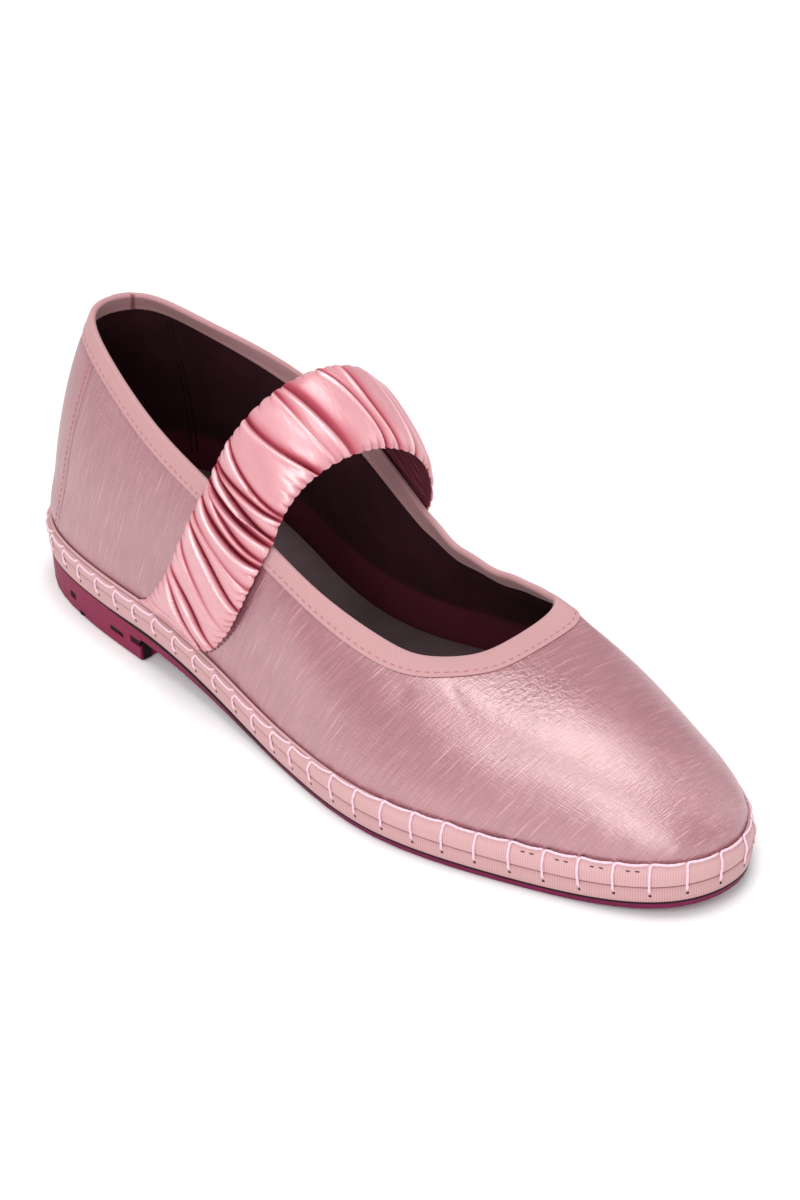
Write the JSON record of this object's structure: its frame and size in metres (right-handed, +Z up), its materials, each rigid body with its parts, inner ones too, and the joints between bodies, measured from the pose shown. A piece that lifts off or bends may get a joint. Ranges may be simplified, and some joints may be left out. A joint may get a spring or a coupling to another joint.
{
  "type": "flat slip-on shoe",
  "caption": "Low fabric slip-on shoe for the right foot, with a bound topline, a gathered instep strap, a sewn rand and a low heel.",
  "frame": {"origin": "centre of the shoe's bounding box, on the floor that the heel and forefoot stand on", "axes": "+Z up from the floor, +Y towards the heel, -Y towards the toe, +X towards the inner side of the foot, -X towards the outer side"},
  "size_m": [0.0852, 0.251, 0.094],
  "materials": {
    "sole_rubber": "moulded, semi-matt burgundy",
    "ribbed_tape": "fine ribbed tape, matt pale pink",
    "insole_cloth": "matt dark brown cloth",
    "slub_silk": "slubbed silk with a soft sheen, mauve pink",
    "strap_satin": "glossy gathered satin, pink"
  },
  "bodies": {
    "root": {"outsole": "sole_rubber", "midsole": "ribbed_tape", "rand": "ribbed_tape", "insole": "insole_cloth", "upper": "slub_silk", "collar_binding": "ribbed_tape", "heel_counter": "slub_silk", "strap": "strap_satin"}
  },
  "joints": []
}
